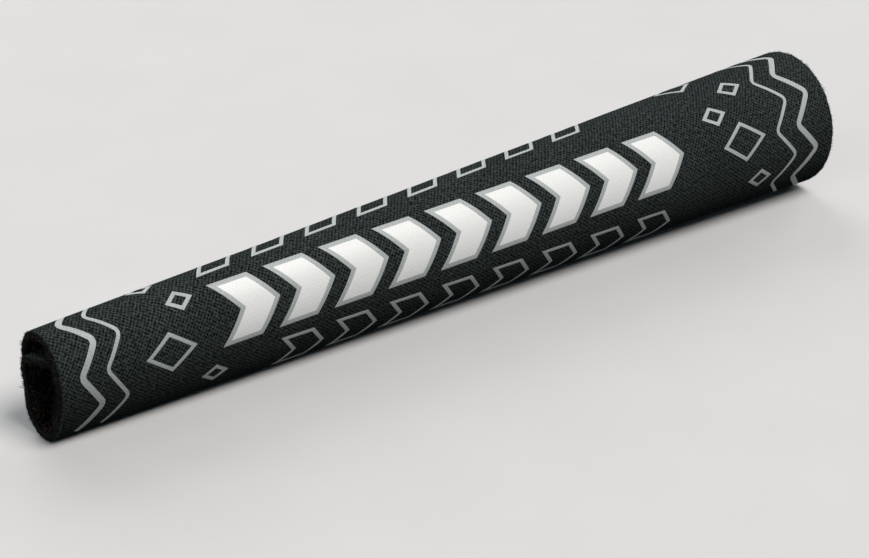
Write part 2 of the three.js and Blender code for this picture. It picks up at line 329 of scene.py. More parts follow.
    def angle_at(self, along, around):
        """The angle from the top of points given by their place along and around the face."""
        row = np.clip(along / self.sheet.tube_length, 0, 1) * (self.TABLE_SHARES - 1)
        column = (around - self.TABLE_LOW) / self.TABLE_STEP
        r = np.clip(row.astype(int), 0, self.TABLE_SHARES - 2)
        c = np.clip(column.astype(int), 0, len(self.distances) - 2)
        a = row - r
        b = column - c
        table = self.angle_table
        low = table[r, c] * (1 - b) + table[r, c + 1] * b
        high = table[r + 1, c] * (1 - b) + table[r + 1, c + 1] * b
        return low * (1 - a) + high * a

    def around_at(self, along, angle):
        """How far round from the top the face is at an angle, negative on the near side."""
        row = along / self.sheet.tube_length * (self.TABLE_SHARES - 1)
        r = min(int(row), self.TABLE_SHARES - 2)
        low, high = (np.interp(angle, self.run_angles, self.run_rows[k]) for k in (r, r + 1))
        return low + (high - low) * (row - r)

    def on_face(self, along, around, lift):
        """Points above the woven face, from their place along the tube and around it from the top."""
        share = along / self.sheet.tube_length
        turn = self.edge_angle(share) - self.angle_at(along, around)
        return self.place(share, turn, -np.asarray(lift))


# Meshes

def unit(vectors):
    return vectors / np.linalg.norm(vectors, axis=-1, keepdims=True)


def new_object(name, vertices, faces, uvs=None, face_slots=None, materials=(), sharp_angle=None):
    """A smooth-shaded mesh object. uvs gives two millimetre coordinates for each vertex."""
    mesh = bpy.data.meshes.new(name)
    mesh.from_pydata([tuple(v) for v in vertices], [], faces)
    mesh.polygons.foreach_set("use_smooth", [True] * len(mesh.polygons))
    if face_slots is not None:
        mesh.polygons.foreach_set("material_index", np.asarray(face_slots, np.int32))
    shape = bmesh.new()
    shape.from_mesh(mesh)
    bmesh.ops.recalc_face_normals(shape, faces=shape.faces)
    shape.to_mesh(mesh)
    shape.free()
    if uvs is not None:
        layer = mesh.uv_layers.new(name="Cloth")
        corners = np.zeros(len(mesh.loops), np.int32)
        mesh.loops.foreach_get("vertex_index", corners)
        layer.uv.foreach_set("vector", np.asarray(uvs, np.float32)[corners].ravel())
    for material in materials:
        mesh.materials.append(material)
    mesh.update()
    if sharp_angle is not None:
        mesh.set_sharp_from_angle(angle=sharp_angle)
    made = bpy.data.objects.new(name, mesh)
    bpy.context.scene.collection.objects.link(made)
    return made


def tube_faces(rows, size):
    """Quads between the points of rings, ring by ring."""
    row, column = np.meshgrid(np.arange(rows - 1), np.arange(size), indexing="ij")
    here = row * size + column
    beside = row * size + (column + 1) % size
    return np.stack([here, beside, beside + size, here + size], -1).reshape(-1, 4)


def band_faces(rows, size, closed=False):
    """Faces of a thin band, whose rings run over its top and back below it. A closed one has no ends."""
    faces = tube_faces(rows, size).tolist()
    last = (rows - 1) * size
    if closed:
        return faces + [[last + j, last + (j + 1) % size, (j + 1) % size, j] for j in range(size)]
    for j in range(size // 2 - 1):
        for start in (0, last):
            faces.append([start + j, start + j + 1, start + size - 2 - j, start + size - 1 - j])
    return faces


# The sheet

CLOTH_COLUMNS = 150
# Rows of the sheet near an end, as distances from it, and the evenly spaced rows between both ends.
END_ROWS = np.array([0, 0.15, 0.4, 0.8, 1.4, 2.2]) * MM
EVEN_ROWS_START = 3.2 * MM
EVEN_ROWS = 190
EDGE_POINTS = 4
EDGE_BULGE = 0.22 * MM
# Both faces draw together at a cut end: by how much, and how far from the end it starts.
END_PINCH = 0.16 * MM
PINCH_REACH = 0.8 * MM
CAP_ROUGHNESS = 0.12 * MM
CAP_SEED = 7
WOVEN, FOAM, LINING = 0, 1, 2


def sheet_shares(tube_length):
    """Shares of the length of the sheet's rows, closer together near both ends."""
    near = END_ROWS / tube_length
    middle = np.linspace(EVEN_ROWS_START / tube_length, 1 - EVEN_ROWS_START / tube_length, EVEN_ROWS)
    return np.concatenate([near, middle, 1 - near[::-1]])


def sheet_ring(roll, share, edge_depths, edge_out):
    """Points of one ring of the sheet, with their cloth coordinates in millimetres."""
    sheet = roll.sheet
    turns, width = roll.even_turns(share, CLOTH_COLUMNS)
    from_end = min(share, 1 - share) * sheet.tube_length
    pinch = END_PINCH * max(0, 1 - from_end / PINCH_REACH) ** 2
    outer = roll.place(share, turns, np.full(turns.shape, pinch))
    inner = roll.place(share, turns, np.full(turns.shape, sheet.thickness - pinch))
    first = roll.place(share, np.full(EDGE_POINTS, turns[0]), edge_depths)
    last = roll.place(share, np.full(EDGE_POINTS, turns[-1]), edge_depths)
    first += edge_out[:, None] * unit(outer[0] - outer[1])
    last += edge_out[:, None] * unit(outer[-1] - outer[-2])
    places = np.linspace(0, width, CLOTH_COLUMNS)
    across = (np.interp(roll.edge_angle(share), turns, places) - places) / MM
    cloth = np.stack([np.full(CLOTH_COLUMNS, share * sheet.tube_length / MM), across], -1)
    return (np.concatenate([outer, last, inner[::-1], first[::-1]]),
            np.concatenate([cloth, np.repeat(cloth[-1:], EDGE_POINTS, 0), cloth[::-1],
                            np.repeat(cloth[:1], EDGE_POINTS, 0)]))


def build_sheet(roll, materials):
    """The laminated sheet as one closed mesh, with rounded cut edges."""
    rng = np.random.default_rng(CAP_SEED)
    shares = sheet_shares(roll.sheet.tube_length)
    half_turn = np.linspace(0, math.pi, EDGE_POINTS + 2)[1:-1]
    edge_depths = roll.sheet.thickness * (1 - np.cos(half_turn)) / 2
    edge_out = EDGE_BULGE * np.sin(half_turn)
    rings, cloth = zip(*(sheet_ring(roll, value, edge_depths, edge_out) for value in shares))
    vertices = np.concatenate(rings)
    uvs = np.concatenate(cloth)
    ring_size = len(rings[0])
    faces = [tube_faces(len(shares), ring_size)]
    slots = [np.tile(ring_slots(ring_size), len(shares) - 1)]
    for row, direction in ((0, -1), (len(shares) - 1, 1)):
        turns = roll.even_turns(shares[row], CLOTH_COLUMNS)[0][1:-1]
        depths = np.repeat(edge_depths[:, None], len(turns), 1)
        points = roll.place(shares[row], np.repeat(turns[None], EDGE_POINTS, 0), depths)
        points[..., 0] += direction * (edge_out[:, None] + rng.normal(0, CAP_ROUGHNESS, depths.shape))
        made, made_slots = cap_faces(row * ring_size, ring_size, len(vertices), direction)
        faces.append(made)
        slots.append(made_slots)
        vertices = np.concatenate([vertices, points.reshape(-1, 3)])
        cap_uv = uvs[row * ring_size + 1:row * ring_size + CLOTH_COLUMNS - 1]
        uvs = np.concatenate([uvs, np.tile(cap_uv, (EDGE_POINTS, 1))])
    faces = np.concatenate(faces)[:, ::-1]
    return new_object("wrap_sheet", vertices, faces.tolist(), uvs, np.concatenate(slots), materials)


def ring_slots(ring_size):
    """Material slots of the faces that start at each point of a ring."""
    slots = np.full(ring_size, WOVEN)
    slots[CLOTH_COLUMNS - 1:CLOTH_COLUMNS + EDGE_POINTS] = FOAM
    inner_start = CLOTH_COLUMNS + EDGE_POINTS
    slots[inner_start:inner_start + CLOTH_COLUMNS - 1] = LINING
    slots[inner_start + CLOTH_COLUMNS - 1:] = FOAM
    return slots


def cap_faces(ring_start, ring_size, cap_start, direction):
    """Quads across the thickness of one cut end, between a ring's outer and inner points."""
    columns = CLOTH_COLUMNS - 2
    grid = np.zeros((EDGE_POINTS + 2, CLOTH_COLUMNS), int)
    grid[0] = ring_start + np.arange(CLOTH_COLUMNS)
    inner_start = ring_start + CLOTH_COLUMNS + EDGE_POINTS
    grid[-1] = inner_start + np.arange(CLOTH_COLUMNS)[::-1]
    grid[1:-1, -1] = ring_start + CLOTH_COLUMNS + np.arange(EDGE_POINTS)
    grid[1:-1, 0] = (ring_start + ring_size - 1) - np.arange(EDGE_POINTS)
    grid[1:-1, 1:-1] = cap_start + np.arange(EDGE_POINTS * columns).reshape(EDGE_POINTS, columns)
    quads = np.stack([grid[:-1, :-1], grid[:-1, 1:], grid[1:, 1:], grid[1:, :-1]], -1)
    slots = np.full(quads.shape[:2], FOAM)
    slots[0] = WOVEN
    slots[-1] = LINING
    quads = quads.reshape(-1, 4)
    if direction < 0:
        quads = quads[:, ::-1]
    return quads[:, ::-1], slots.reshape(-1)


# Strands: yarn ends, pile loops and hooks

def strand_mesh(starts, ahead, aside, sizes, shape, radii):
    """Vertices and faces of many thin strands with triangular sections.

    Each strand lies in the plane of its ahead and aside directions. shape lists its points in that
    plane, as shares of its size, and radii gives each strand's radius at each of them.
    """
    ahead = unit(ahead)
    aside = unit(aside - ahead * np.sum(aside * ahead, -1, keepdims=True))
    across = np.cross(ahead, aside)
    shape = np.asarray(shape)
    bends = ahead[:, None] * shape[None, :, :1] + aside[:, None] * shape[None, :, 1:]
    paths = starts[:, None] + sizes[:, None, None] * bends
    along = unit(np.gradient(paths, axis=1))
    side = np.cross(across[:, None], along)
    angles = np.arange(3) * FULL_TURN / 3
    ring = np.cos(angles)[:, None] * side[:, :, None] + np.sin(angles)[:, None] * across[:, None, None]
    vertices = paths[:, :, None] + radii[..., None, None] * ring
    vertices[..., 2] = np.maximum(vertices[..., 2], 0)
    count, points = paths.shape[:2]
    first = np.arange(count)[:, None, None] * points * 3
    corner = np.arange(points - 1)[None, :, None] * 3
    j = np.arange(3)[None, None]
    here = first + corner + j
    beside = first + corner + (j + 1) % 3
    quads = np.stack([here, beside, beside + 3, here + 3], -1).reshape(-1, 4)
    start_caps = np.arange(count)[:, None] * points * 3 + [0, 2, 1]
    end_caps = (np.arange(count)[:, None] + 1) * points * 3 + [-3, -2, -1]
    return vertices.reshape(-1, 3), quads.tolist() + start_caps.tolist() + end_caps.tolist()


def join_parts(parts):
    """Several (vertices, faces) joined, with the number of the part that each face comes from."""
    vertices, faces, numbers = [], [], []
    count = 0
    for number, (points, polygons) in enumerate(parts):
        vertices.append(points)
        faces += [[count + corner for corner in polygon] for polygon in polygons]
        numbers += [number] * len(polygons)
        count += len(points)
    return np.concatenate(vertices), faces, numbers


# Small steps along the tube, around the roll and outward, which give the directions
SHARE_STEP = 0.001
TURN_STEP = 0.002
DEPTH_STEP = 0.01 * MM


def sheet_directions(roll, share, turn, depth):
    """Points on or in the sheet, with their directions along the tube, around the roll and outward."""
    here = roll.place(share, turn, depth)
    along = unit(roll.place(share + SHARE_STEP, turn, depth) - here)
    around = unit(roll.place(share, turn + TURN_STEP, depth) - here)
    out = unit(roll.place(share, turn, depth - DEPTH_STEP) - here)
    return here, along, around, out


STUB_SHAPE = [(-0.5, 0), (0.5, 0.06), (1, 0.2)]
STRAND_SHAPE = [(-0.2, 0), (0.4, 0.05), (0.75, 0.25), (1, 0.6)]
LOOP_SHAPE = [(-0.15, -0.3), (0.55, -0.36), (1, 0), (0.55, 0.36), (-0.15, 0.3)]
HOOK_SHAPE = [(-0.1, 0), (0.6, 0), (1, 0.22), (0.9, 0.5)]
YARN_PITCH = 0.62 * MM
# The fray grows longer in tufts: how far apart they are, and the least and the most growth.
TUFT_PITCH = 1.7 * MM
TUFT_LOW = 0.7
TUFT_HIGH = 1.6
# How far cut fibres point outward at a mouth and at the free edge, and how far they stray
MOUTH_LIFT = 0.12
EDGE_LIFT = 0.1
STRAY = 0.3
# Shares of the length next to both ends that the free edge's fibres leave out
BARE_SHARE = 0.002


class Fringe:
    """One kind of cut fibre, with its range of depths in the sheet, its range of lengths and its radius.

    per_mm is how many stand on a millimetre of the edge. None means one for each yarn of the weave.
    """

    WANDER = 0.8
    TIP_SHARE = 0.55
    THICKNESS_RANGE = (0.7, 1.25)

    def __init__(self, per_mm, depths, sizes, radius, shape):
        self.per_mm = per_mm
        self.depths = np.array(depths) * MM
        self.sizes = np.array(sizes) * MM
        self.radius = radius * MM
        self.shape = shape

    def strands(self, rng, here, ahead, around, growth=1.0):
        """Strands of this kind that start at given points and head roughly the same way."""
        count = len(here)
        aside = around + rng.normal(0, self.WANDER, (count, 3))
        sizes = rng.uniform(*self.sizes, count) * growth
        taper = np.linspace(1, self.TIP_SHARE, len(self.shape))
        radii = self.radius * rng.uniform(*self.THICKNESS_RANGE, (count, 1)) * taper
        return strand_mesh(here, ahead, aside, sizes, self.shape, radii)


# Stubs of the weave's yarns, their loose filaments, and last the lint of the foam and the lining
MOUTH_FRINGES = (Fringe(None, (0.15, 0.3), (0.12, 0.5), 0.13, STUB_SHAPE),
                 Fringe(7, (0, 0.5), (0.2, 0.8), 0.03, STRAND_SHAPE),
                 Fringe(6, (1.1, 2), (0.35, 1.3), 0.05, STRAND_SHAPE))
EDGE_FRINGES = (Fringe(None, (0.15, 0.3), (0.1, 0.4), 0.13, STUB_SHAPE),
                Fringe(5, (0, 0.5), (0.2, 0.8), 0.03, STRAND_SHAPE),
                Fringe(3, (1.2, 2), (0.2, 0.6), 0.045, STRAND_SHAPE))
FRAY_SEED = 11


def mouth_yarn_ends(roll, rng, share):
    """Cut fibres round one open end. They grow longer in tufts."""
    direction = -1 if share == 0 else 1
    width = roll.width_at(share)
    knots = np.arange(0, width + TUFT_PITCH, TUFT_PITCH)
    # The cube makes long tufts rare.
    tufts = TUFT_LOW + (TUFT_HIGH - TUFT_LOW) * rng.uniform(0, 1, len(knots)) ** 3
    places = [np.arange(YARN_PITCH / 2, width, YARN_PITCH) if fringe.per_mm is None
              else rng.uniform(0, width, int(width / MM * fringe.per_mm)) for fringe in MOUTH_FRINGES]
    parts = []
    for fringe, along_edge in zip(MOUTH_FRINGES, places):
        count = (len(along_edge), 1)
        depth = rng.uniform(*fringe.depths, len(along_edge))
        here, _, around, out = sheet_directions(roll, np.full(len(along_edge), float(share)),
                                                roll.turns_at(share, along_edge), depth)
        spread = out * rng.normal(MOUTH_LIFT, STRAY, count) + around * rng.normal(0, STRAY, count)
        ahead = unit(np.array([direction, 0, 0]) + spread)
        parts.append(fringe.strands(rng, here, ahead, around, np.interp(along_edge, knots, tufts)))
    return parts


def edge_yarn_ends(roll, rng):
    """Cut fibres along the outer free edge."""
    tube_length = roll.sheet.tube_length
    parts = []
    for fringe in EDGE_FRINGES:
        count = tube_length / YARN_PITCH if fringe.per_mm is None else tube_length / MM * fringe.per_mm
        count = int(count)
        shares = np.sort(rng.uniform(BARE_SHARE, 1 - BARE_SHARE, count))
        depth = rng.uniform(*fringe.depths, count)
        here, along, around, out = sheet_directions(roll, shares, np.zeros(count), depth)
        spread = out * rng.normal(EDGE_LIFT, STRAY, (count, 1))
        spread += along * rng.normal(0, STRAY, (count, 1))
        parts.append(fringe.strands(rng, here, unit(spread - around), along))
    return parts


LOOP_REACH = 34 * MM
LOOP_SPREAD = 13 * MM
LOOP_SIZES = (0.6 * MM, 1.4 * MM)
LOOP_RADII = (0.05 * MM, 0.1 * MM)
LOOP_LEAN = 0.25
# Room between the loops and the sheet's edges and cut ends
LOOP_MARGIN = 0.3 * MM
NARROW_LOOPS = 2300
WIDE_LOOPS = 2700
LOOP_SEED = 12


def lining_loops(roll, rng, share, count):
    """Loops of the lining's pile, close together at one open end and thinner further in."""
    sheet = roll.sheet
    distance = np.abs(rng.normal(0, LOOP_SPREAD, count))
    distance = np.where(distance > LOOP_REACH, rng.uniform(0, LOOP_REACH, count), distance)
    shares = np.abs(share - (distance + LOOP_MARGIN) / sheet.tube_length)
    width = roll.width_at(share)
    turn = roll.turns_at(share, rng.uniform(LOOP_MARGIN, width - LOOP_MARGIN, count))
    here, along, around, out = sheet_directions(roll, shares, turn, np.full(count, sheet.thickness))
    ahead = unit(-out + rng.normal(0, LOOP_LEAN, (count, 3)))
    aside = along * rng.normal(0, 1, (count, 1)) + around * rng.normal(0, 1, (count, 1))
    sizes = rng.uniform(*LOOP_SIZES, count)
    radii = rng.uniform(*LOOP_RADII, (count, 1)) * np.ones(len(LOOP_SHAPE))
    return strand_mesh(here, ahead, aside, sizes, LOOP_SHAPE, radii)


# The hook tape

HOOK_WIDTH = 12 * MM
HOOK_THICKNESS = 0.5 * MM
HOOK_BASE = 0.2 * MM
HOOK_EDGE_INSET = 2 * MM
HOOK_END_INSET = 3 * MM
SEAT_GAP = 0.15 * MM
HOOK_COLUMNS = 11
HOOK_PITCH = 1.2 * MM
HOOK_RADIUS = 0.07 * MM
HOOK_TAPER = [1, 0.9, 0.8, 0.6]
HOOK_STRAY = 0.1
HOOK_SEED = 13
TAPE_ROWS = 120
TAPE_SAMPLES = 500


def hook_turns(roll, share, count):
    """Turns across the hook tape, which lies on the woven face near the sheet's inner edge."""
    far_side = roll.width_at(share) - HOOK_EDGE_INSET
    return roll.turns_at(share, np.linspace(far_side - HOOK_WIDTH, far_side, count), TAPE_SAMPLES)


def hook_tape_parts(roll, rng):
    """The woven base tape, and the rows of moulded hooks that stand on it."""
    tube_length = roll.sheet.tube_length
    end = HOOK_END_INSET / tube_length
    rings = []
    for share in np.linspace(end, 1 - end, TAPE_ROWS):
        turns = hook_turns(roll, share, HOOK_COLUMNS + 1)
        low = roll.place(share, turns, np.full(turns.shape, -SEAT_GAP))
        high = roll.place(share, turns, np.full(turns.shape, -SEAT_GAP - HOOK_BASE))
        rings.append(np.concatenate([low, high[::-1]]))
    base = (np.concatenate(rings), band_faces(len(rings), len(rings[0])))

    rows = int((tube_length - 2 * HOOK_END_INSET) / HOOK_PITCH)
    row_shares = np.linspace(end, 1 - end, rows + 2)[1:-1]
    turns = np.array([hook_turns(roll, share, HOOK_COLUMNS + 2)[1:-1] for share in row_shares]).ravel()
    shares = np.repeat(row_shares, HOOK_COLUMNS)
    depth = np.full(len(shares), -SEAT_GAP - HOOK_BASE)
    here, along, _, out = sheet_directions(roll, shares, turns, depth)
    lean = np.where(np.arange(len(shares))[:, None] % 2, 1, -1) * along
    sizes = np.full(len(shares), HOOK_THICKNESS - HOOK_BASE)
    radii = np.full((len(shares), 1), HOOK_RADIUS) * HOOK_TAPER
    lean = lean + rng.normal(0, HOOK_STRAY, lean.shape)
    return [base, strand_mesh(here, out, lean, sizes, HOOK_SHAPE, radii)]


# The print

class Row:
    """A row of chevrons: its angle from the top, its room at both ends and its height."""

    def __init__(self, angle, start, end, height):
        self.angle = angle * DEGREE
        self.start = start * MM
        self.end = end * MM
        self.height = height * MM


class Zigzag:
    """Zigzag lines round one end. The direction is 1 from the narrow end and -1 from the wide end.

    start is how far from the end the first line is, depth how far it swings and spacing how far behind
    it the second line is, in millimetres. stretches is how many straight parts each line has.
    """

    def __init__(self, direction, start, depth, spacing, stretches):
        self.direction = direction
        self.start = start * MM
        self.depth = depth * MM
        self.spacing = spacing * MM
        self.stretches = stretches


MAIN_ROW = Row(-58, 47, 54, 14.6)
UPPER_ROW = Row(25, 45, 64, 12.6)
LOWER_ROW = Row(-123, 63, 47, 10.4)
NARROW_ZIGZAG = Zigzag(1, 5, 6, 7, 6)
WIDE_ZIGZAG = Zigzag(-1, 6, 7, 8, 8)
# Each diamond has its steps from the end, its angle from the top and its share of the largest size.
NARROW_DIAMONDS = ((3, -77, 0.92), (3.6, -27, 0.44), (3, 14, 0.44), (4.3, -118, 0.44))
WIDE_DIAMONDS = ((3.3, -66, 1), (4, -36, 0.5), (2.9, -14, 0.5), (4.1, 20, 0.85), (2.7, -105, 0.5))
FILM_STEP = 0.7 * MM
# How far a film's underside stays above the face, and how high its rims are for its height
FILM_FLOOR = 0.015 * MM
FILM_RIM_SHARE = 0.7
FILM_RIM_ANGLE = 40 * DEGREE
CORNER_STEPS = 6


def mitres(path, closed):
    """At each point of a path, the side that points away from it, longer where the path bends."""
    before = path - np.roll(path, 1, 0)
    after = np.roll(path, -1, 0) - path
    if not closed:
        before[0] = after[0]
        after[-1] = before[-1]
    before_side = unit(np.stack([before[:, 1], -before[:, 0]], -1))
    after_side = unit(np.stack([after[:, 1], -after[:, 0]], -1))
    side = unit(before_side + after_side)
    return side / np.sum(side * after_side, -1, keepdims=True)


def refine(path, closed, like=None):
    """The same path with points added, as many as suit the path that it has to match."""
    like = path if like is None else like
    count = len(path) if closed else len(path) - 1
    points = []
    for i in range(count):
        j = (i + 1) % len(path)
        parts = max(1, math.ceil(np.linalg.norm(like[j] - like[i]) / FILM_STEP))
        points += [path[i] + (path[j] - path[i]) * k / parts for k in range(parts)]
    return np.array(points if closed else [*points, path[-1]])


def film_mesh(roll, left, right, closed, film):
    """A thin closed film between two edges on the face. Its rims are lower than its middle."""
    widest = np.linalg.norm(right - left, axis=1).max()
    columns = max(2, math.ceil(widest / FILM_STEP)) + 1
    across = np.linspace(0, 1, columns)[None, :, None]
    flat = left[:, None] * (1 - across) + right[:, None] * across
    lift = np.full(flat.shape[:2], film)
    lift[:, 0] = lift[:, -1] = film * FILM_RIM_SHARE
    top = roll.on_face(flat[..., 0], flat[..., 1], lift)
    bottom = roll.on_face(flat[..., 0], flat[..., 1], np.full(lift.shape, FILM_FLOOR))
    ring = np.concatenate([top, bottom[:, ::-1]], 1)
    cloth = np.concatenate([flat, flat[:, ::-1]], 1) / MM
    faces = band_faces(*ring.shape[:2], closed)
    return ring.reshape(-1, 3), faces, cloth.reshape(-1, 2)


class Print:
    """The printed pattern. Flat points give the place along the tube and around it from the top."""

    def __init__(self, roll, sizes):
        self.roll = roll
        self.sizes = sizes

    def row_point(self, angle, along, height=0.0):
        return np.array([along, self.roll.around_at(along, angle) + height])

    def line(self, path, width, closed):
        fine = refine(np.array(path), closed)
        sides = mitres(fine, closed) * width / 2
        return film_mesh(self.roll, fine + sides, fine - sides, closed, self.sizes.film)

    def chevrons(self, row):
        """Corners of each chevron of a row, from its lower left. They point to the wide end."""
        sizes = self.sizes
        room = self.roll.sheet.tube_length - row.start - row.end - sizes.stroke - sizes.point
        point = sizes.point * row.height / MAIN_ROW.height
        half = row.height / 2
        for i in range(1 + max(0, math.floor(room / sizes.pitch))):
            left = row.start + i * sizes.pitch
            right = left + sizes.stroke
            corners = ((left, -half), (right, -half), (right + point, 0), (right, half), (left, half),
                       (left + point, 0))
            yield np.array([self.row_point(row.angle, along, height) for along, height in corners])

    def white_chevrons(self):
        films = []
        for low_left, low_right, tip, high_right, high_left, notch in self.chevrons(MAIN_ROW):
            coarse = np.array([low_left, notch, high_left])
            left = refine(coarse, False)
            right = refine(np.array([low_right, tip, high_right]), False, like=coarse)
            films.append(film_mesh(self.roll, left, right, False, self.sizes.film))
        return films

    def borders(self):
        offset = self.sizes.border_gap + self.sizes.border_width / 2
        return [self.line(corners + mitres(corners, True) * offset, self.sizes.border_width, True)
                for corners in self.chevrons(MAIN_ROW)]

    def faint_row(self, row):
        return [self.line(corners, self.sizes.line_width, True) for corners in self.chevrons(row)]

    def zigzag(self, zigzag, behind):
        """The points of a zigzag, with each corner rounded."""
        tube_length = self.roll.sheet.tube_length
        end = 0 if zigzag.direction > 0 else tube_length
        points = []
        for i in range(zigzag.stretches + 1):
            along = end + zigzag.direction * (zigzag.start + behind + (i % 2) * zigzag.depth)
            far = self.roll.edge_angle(along / tube_length) - self.sizes.zigzag_far_margin
            angle = far + (self.sizes.zigzag_near_angle - far) * i / zigzag.stretches
            points.append(self.row_point(angle, along))
        rounded = [points[0]]
        for before, corner, after in zip(points, points[1:], points[2:]):
            start, stop = (corner + unit(other - corner) * self.sizes.zigzag_corner
                           for other in (before, after))
            for t in np.linspace(0, 1, CORNER_STEPS):
                rounded.append((1 - t) ** 2 * start + 2 * t * (1 - t) * corner + t ** 2 * stop)
        return [*rounded, points[-1]]

    def end_motifs(self, zigzag, diamonds):
        """Two zigzags and the diamonds at one end."""
        sizes = self.sizes
        films = [self.line(self.zigzag(zigzag, 0), sizes.bold_line_width, False),
                 self.line(self.zigzag(zigzag, zigzag.spacing), sizes.line_width, False)]
        end = 0 if zigzag.direction > 0 else self.roll.sheet.tube_length
        for steps, degrees, part in diamonds:
            along = end + zigzag.direction * steps * sizes.diamond_step
            half_length = part * sizes.diamond_length / 2
            half_height = part * sizes.diamond_height / 2
            corners = ((along - half_length, 0), (along, -half_height), (along + half_length, 0),
                       (along, half_height))
            path = [self.row_point(degrees * DEGREE, x, height) for x, height in corners]
            films.append(self.line(path, sizes.line_width, True))
        return films


# Finishes

# One repeat of the weave along and around the tube, in millimetres, as it shows in the photo
WEAVE_ALONG = 1.2
WEAVE_AROUND = 1.25
GRAIN_SKEW = -5.5 * DEGREE
# How far the ribs stray from straight lines, in millimetres
WEAVE_DRIFT = 0.65
# Heights of the crossing waves at a pore's centre and rim, and how ragged the rim is
PORE_CENTRE = -1.1
PORE_RIM = 0.5
PORE_FRAY = 0.85
# The lining's loops, in millimetres, coarser than real ones so that they show
LOOP_PITCH = 1.1
# Most values of a noise texture lie in this range.
NOISE_RANGE = (0.3, 0.7)
# How dark and how light each texture makes its base colour
YARN_SHADES = (0.2, 1.9)
PATCH_SHADES = (0.9, 1.1)
# Painted shade and light in the foam's cells: darker in their hollows, lighter on their walls
FOAM_CELL_SHADE = (0.3, 1.3)
# Painted shade and light on the lining: darker in the pile's hollows, lighter on its loops
LINING_LIGHT_AND_SHADE = (0.25, 1.4)
FIBRE_SHADES = (0.3, 2.4)
FLOOR_SHADES = (0.985, 1.015)
# Roughness in the pores and on the yarns, and how much a film's roughness varies
YARN_ROUGHNESS = (0.9, 0.6)
GLOSS_SPREAD = 0.08


def add_node(tree, kind, inputs=None, **settings):
    """Add a node with its settings. Its inputs take values, sockets or other nodes' first outputs."""
    node = tree.nodes.new("ShaderNode" + kind)
    for name, value in settings.items():
        setattr(node, name, value)
    for key, value in (inputs or {}).items():
        if isinstance(value, bpy.types.Node):
            value = value.outputs[0]
        if isinstance(value, bpy.types.NodeSocket):
            tree.links.new(value, node.inputs[key])
        else:
            node.inputs[key].default_value = value
    return node


def opaque(rgb):
    return (*rgb, 1.0)


def new_finish(name, **sockets):
    """A material with one Principled shader. The sockets given are set to plain values."""
    made = bpy.data.materials.new(name)
    made.use_nodes = True
    tree = made.node_tree
    tree.nodes.clear()
    values = {key.replace("_", " "): value for key, value in sockets.items()}
    shader = add_node(tree, "BsdfPrincipled", values)
    add_node(tree, "OutputMaterial", {"Surface": shader})
    return made, tree, shader


def combine(tree, operation, first, second):
    return add_node(tree, "Math", {0: first, 1: second}, operation=operation)


def noise(tree, place, scale, detail, roughness=0.5):
    return add_node(tree, "TexNoise", {"Vector": place, "Scale": scale, "Detail": detail,
                                       "Roughness": roughness})


def moved(tree, value, old, new, **settings):
    """A value moved from its old range to a new one and held inside it."""
    return add_node(tree, "MapRange", {0: value, 1: old[0], 2: old[1], 3: new[0], 4: new[1]}, **settings)


def set_colour(tree, shader, base, shade):
    """The shader's base colour, made lighter and darker by a shade."""
    colour = add_node(tree, "VectorMath", {0: base, 3: shade}, operation="SCALE")
    tree.links.new(colour.outputs[0], shader.inputs["Base Color"])


def set_relief(tree, shader, height, strength, depth):
    bump = add_node(tree, "Bump", {"Height": height, "Strength": strength, "Distance": depth})
    tree.links.new(bump.outputs[0], shader.inputs["Normal"])


def plain_weave(tree):
    """Height of a plain weave: 0 in its pores, which stand in offset rows, and 1 on the yarns."""
    cloth = add_node(tree, "UVMap", uv_map="Cloth")
    drift = noise(tree, cloth, scale=0.3, detail=4, roughness=0.65)
    wander = (WEAVE_DRIFT, WEAVE_DRIFT, 0)
    shifted = add_node(tree, "VectorMath", {0: drift.outputs["Color"], 1: wander, 2: cloth},
                       operation="MULTIPLY_ADD")
    turned = add_node(tree, "VectorRotate", {"Vector": shifted, "Angle": GRAIN_SKEW},
                      rotation_type="Z_AXIS")
    place = add_node(tree, "SeparateXYZ", {0: turned})
    waves = []
    for axis, repeat in (("X", WEAVE_ALONG), ("Y", WEAVE_AROUND)):
        phase = combine(tree, "MULTIPLY", place.outputs[axis], FULL_TURN / repeat)
        waves.append(add_node(tree, "Math", {0: phase}, operation="COSINE"))
    crossing = combine(tree, "MULTIPLY", *waves)
    fray = noise(tree, cloth, scale=1.3, detail=3, roughness=0.6)
    ragged = combine(tree, "ADD", crossing, moved(tree, fray, NOISE_RANGE, (-PORE_FRAY, PORE_FRAY)))
    height = moved(tree, ragged, (PORE_CENTRE, PORE_RIM), (0, 1), interpolation_type="SMOOTHSTEP")
    return cloth, height


def woven_nylon(finish):
    """Black nylon, plain woven and piece dyed: a lighter ground with small ragged pores, darkened with
    painted shade.
    """
    made, tree, shader = new_finish("woven_nylon_black", IOR=1.53, Specular_IOR_Level=0.0,
                                    Sheen_Weight=0.02, Sheen_Roughness=0.4)
    cloth, height = plain_weave(tree)
    # The colour follows the relief: the yarn colour on the yarns and painted shade in the pores.
    colour = add_node(tree, "Mix", {0: height, 6: opaque(finish.pore_shade), 7: opaque(finish.yarn)},
                      data_type="RGBA")
    fibre = moved(tree, noise(tree, cloth, scale=0.9, detail=3, roughness=0.9), NOISE_RANGE, YARN_SHADES)
    patch = moved(tree, noise(tree, cloth, scale=0.045, detail=2), NOISE_RANGE, PATCH_SHADES)
    set_colour(tree, shader, colour.outputs[2], combine(tree, "MULTIPLY", fibre, patch))
    roughness = moved(tree, height, (0, 1), YARN_ROUGHNESS)
    tree.links.new(roughness.outputs[0], shader.inputs["Roughness"])
    set_relief(tree, shader, height, strength=0.9, depth=0.05 * MM)
    return made


